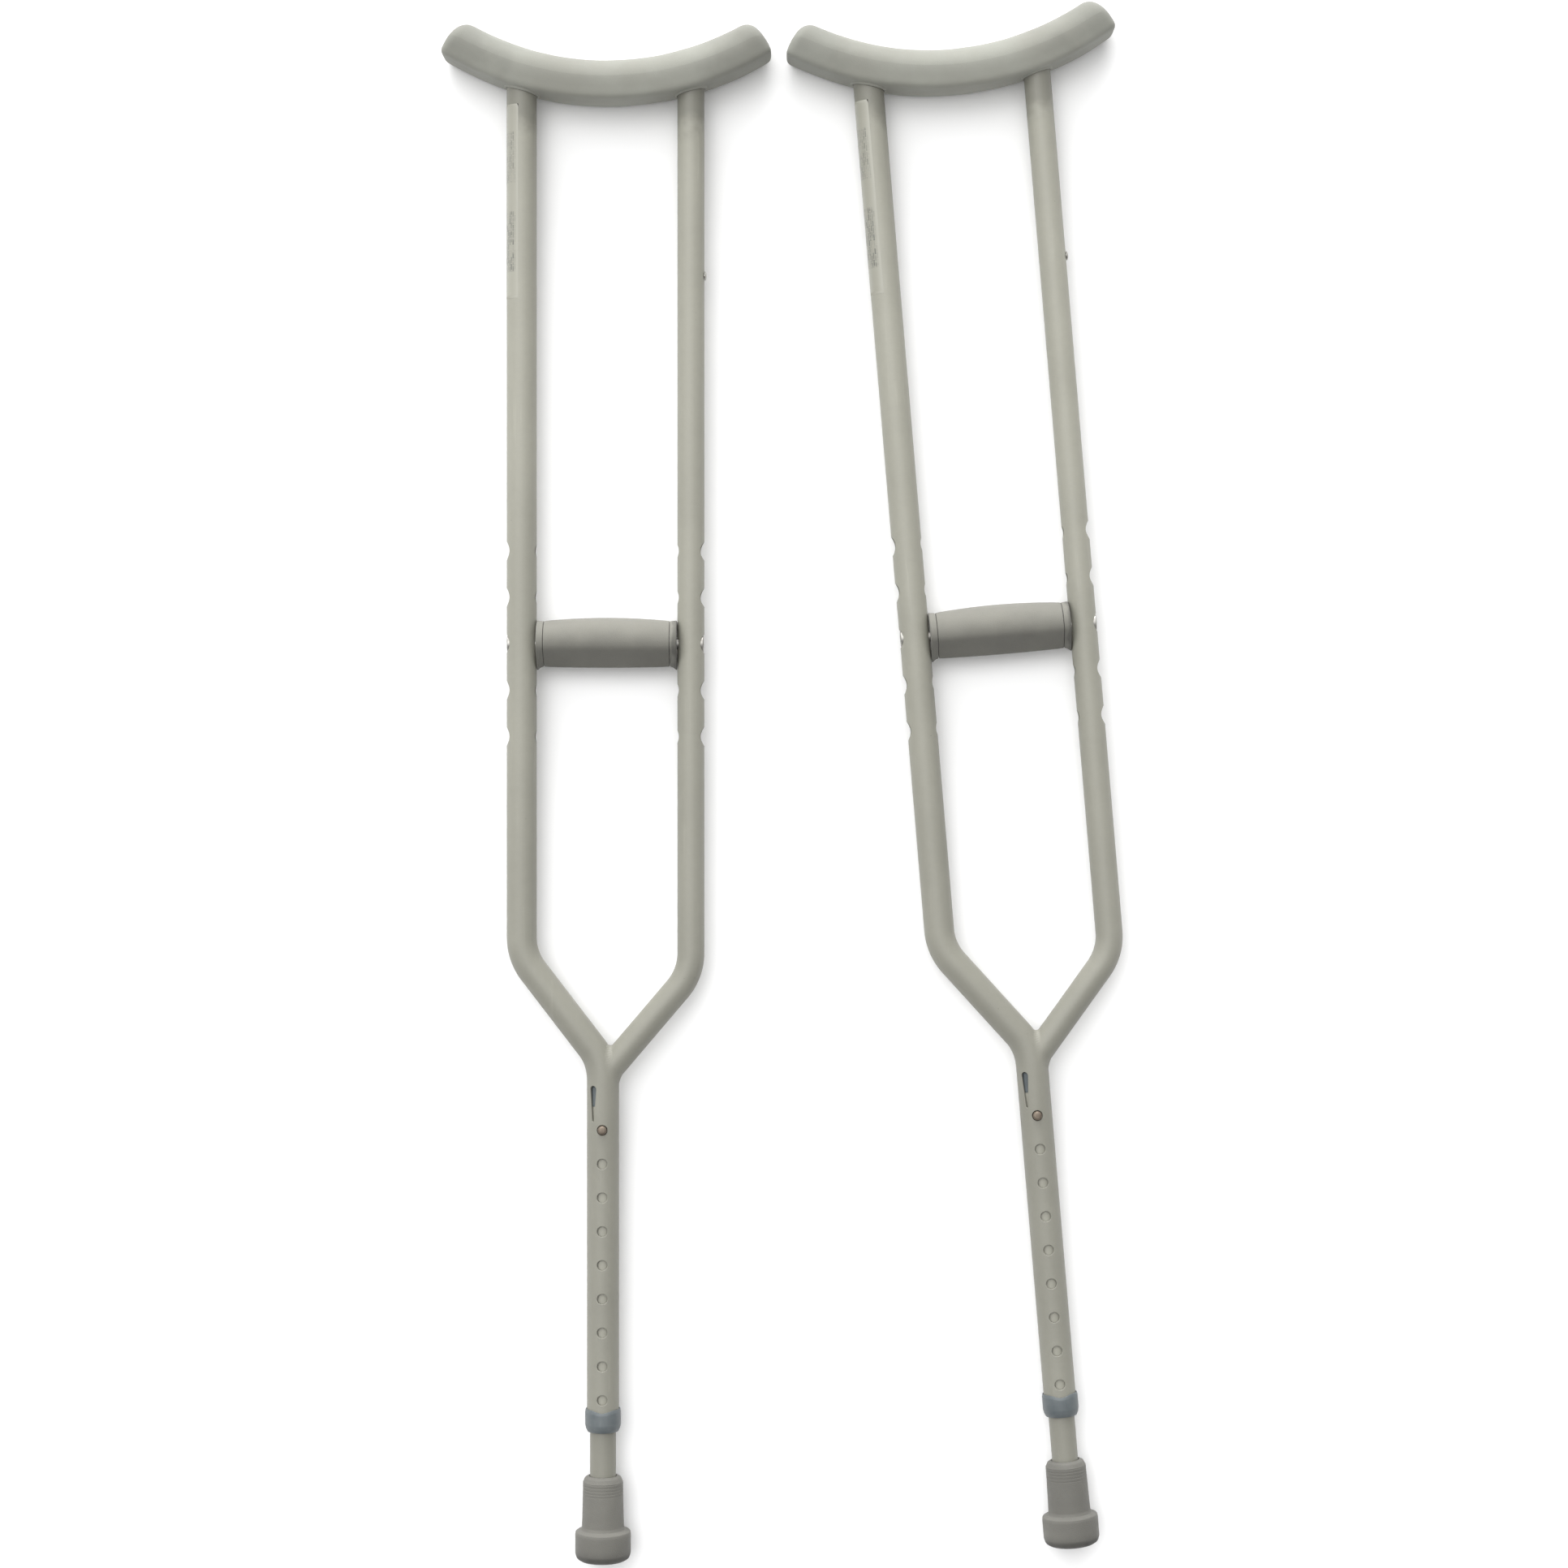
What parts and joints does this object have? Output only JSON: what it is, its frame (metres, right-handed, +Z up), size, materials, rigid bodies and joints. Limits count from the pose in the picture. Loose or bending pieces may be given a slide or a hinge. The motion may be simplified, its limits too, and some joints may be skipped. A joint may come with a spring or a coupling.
{
  "type": "underarm crutches",
  "caption": "Steel underarm crutches lying flat, with curved underarm pads, crowned handgrips between two rails, a forked leg with push-button length setting and rubber tips.",
  "frame": {"origin": "on the floor, under the middle of the pair's box", "axes": "+Y along the first crutch from its rubber tip towards its underarm pad, +X across its rails towards the second crutch, +Z up, out of the crutches' fronts"},
  "size_m": [0.5146, 1.1762, 0.042],
  "materials": {
    "frame_paint": "satin powder coat, warm light grey",
    "bare_steel": "zinc-plated steel",
    "pad_rubber": "matt moulded foam rubber, light grey",
    "grip_rubber": "matt soft rubber, warm grey",
    "tip_rubber": "matt dark grey-brown rubber",
    "collar_plastic": "glossy blue-grey plastic",
    "white_plastic": "natural white nylon",
    "bronze": "dulled bronze-coloured plating",
    "label_film": "clear wrap film with a faint grey print, no text"
  },
  "bodies": {
    "crutch1_frame": {"crutch1_main_tube": "frame_paint", "crutch1_side_tube": "frame_paint", "crutch1_fork_weld": "frame_paint", "crutch1_rail_rivet": "bare_steel", "crutch1_rail_label": "label_film", "crutch1_left_rail_plug": "white_plastic", "crutch1_right_rail_plug": "white_plastic", "crutch1_pad_yoke": "bare_steel", "crutch1_left_yoke_screw": "bare_steel", "crutch1_right_yoke_screw": "bare_steel", "crutch1_underarm_pad": "pad_rubber", "crutch1_leg_collar": "collar_plastic"},
    "crutch1_leg": {"crutch1_extension_tube": "frame_paint", "crutch1_leg_guide": "collar_plastic", "crutch1_button_spring": "bare_steel", "crutch1_rubber_tip": "tip_rubber", "crutch1_tip_washer": "bare_steel"},
    "crutch1_button": {"crutch1_push_button": "bronze"},
    "crutch1_grip": {"crutch1_grip_core": "bare_steel", "crutch1_grip_sleeve": "grip_rubber", "crutch1_grip_left_cap": "grip_rubber", "crutch1_grip_right_cap": "grip_rubber", "crutch1_grip_left_nut": "bare_steel", "crutch1_grip_right_nut": "bare_steel"},
    "crutch1_left_bolt": {"crutch1_grip_left_bolt": "bare_steel"},
    "crutch1_right_bolt": {"crutch1_grip_right_bolt": "bare_steel"},
    "crutch2_frame": {"crutch2_main_tube": "frame_paint", "crutch2_side_tube": "frame_paint", "crutch2_fork_weld": "frame_paint", "crutch2_rail_rivet": "bare_steel", "crutch2_rail_label": "label_film", "crutch2_left_rail_plug": "white_plastic", "crutch2_right_rail_plug": "white_plastic", "crutch2_pad_yoke": "bare_steel", "crutch2_left_yoke_screw": "bare_steel", "crutch2_right_yoke_screw": "bare_steel", "crutch2_underarm_pad": "pad_rubber", "crutch2_leg_collar": "collar_plastic"},
    "crutch2_leg": {"crutch2_extension_tube": "frame_paint", "crutch2_leg_guide": "collar_plastic", "crutch2_button_spring": "bare_steel", "crutch2_rubber_tip": "tip_rubber", "crutch2_tip_washer": "bare_steel"},
    "crutch2_button": {"crutch2_push_button": "bronze"},
    "crutch2_grip": {"crutch2_grip_core": "bare_steel", "crutch2_grip_sleeve": "grip_rubber", "crutch2_grip_left_cap": "grip_rubber", "crutch2_grip_right_cap": "grip_rubber", "crutch2_grip_left_nut": "bare_steel", "crutch2_grip_right_nut": "bare_steel"},
    "crutch2_left_bolt": {"crutch2_grip_left_bolt": "bare_steel"},
    "crutch2_right_bolt": {"crutch2_grip_right_bolt": "bare_steel"}
  },
  "joints": [
    {"name": "crutch1_leg_extend", "type": "slide", "parent": "crutch1_frame", "child": "crutch1_leg", "axis": [0, -1, 0], "range_m": [0, 0.2032], "deforming": ["crutch1_push_button", "crutch1_button_spring"]},
    {"name": "crutch1_button_press", "type": "slide", "parent": "crutch1_leg", "child": "crutch1_button", "axis": [0, 0, -1], "range_m": [0, 0.005], "stiffness_N_per_m": 1500, "springref_m": -0.003},
    {"name": "crutch1_grip_height", "type": "slide", "parent": "crutch1_frame", "child": "crutch1_grip", "axis": [0, 1, 0], "range_m": [-0.07, 0.07], "deforming": ["crutch1_grip_left_bolt", "crutch1_grip_right_bolt"]},
    {"name": "crutch1_left_bolt_draw", "type": "slide", "parent": "crutch1_grip", "child": "crutch1_left_bolt", "axis": [-1, 0, 0], "range_m": [0, 0.05]},
    {"name": "crutch1_right_bolt_draw", "type": "slide", "parent": "crutch1_grip", "child": "crutch1_right_bolt", "axis": [1, 0, 0], "range_m": [0, 0.05]},
    {"name": "crutch2_apart", "type": "slide", "parent": "crutch1_frame", "child": "crutch2_frame", "axis": [1, 0, 0], "range_m": [0, 0.3]},
    {"name": "crutch2_leg_extend", "type": "slide", "parent": "crutch2_frame", "child": "crutch2_leg", "axis": [0.0837, -0.9965, 0], "range_m": [0, 0.2032], "deforming": ["crutch2_push_button", "crutch2_button_spring"]},
    {"name": "crutch2_button_press", "type": "slide", "parent": "crutch2_leg", "child": "crutch2_button", "axis": [0, 0, -1], "range_m": [0, 0.005], "stiffness_N_per_m": 1500, "springref_m": -0.003},
    {"name": "crutch2_grip_height", "type": "slide", "parent": "crutch2_frame", "child": "crutch2_grip", "axis": [-0.0837, 0.9965, 0], "range_m": [-0.07, 0.07], "deforming": ["crutch2_grip_left_bolt", "crutch2_grip_right_bolt"]},
    {"name": "crutch2_left_bolt_draw", "type": "slide", "parent": "crutch2_grip", "child": "crutch2_left_bolt", "axis": [-0.9965, -0.0837, 0], "range_m": [0, 0.05]},
    {"name": "crutch2_right_bolt_draw", "type": "slide", "parent": "crutch2_grip", "child": "crutch2_right_bolt", "axis": [0.9965, 0.0837, 0], "range_m": [0, 0.05]}
  ]
}
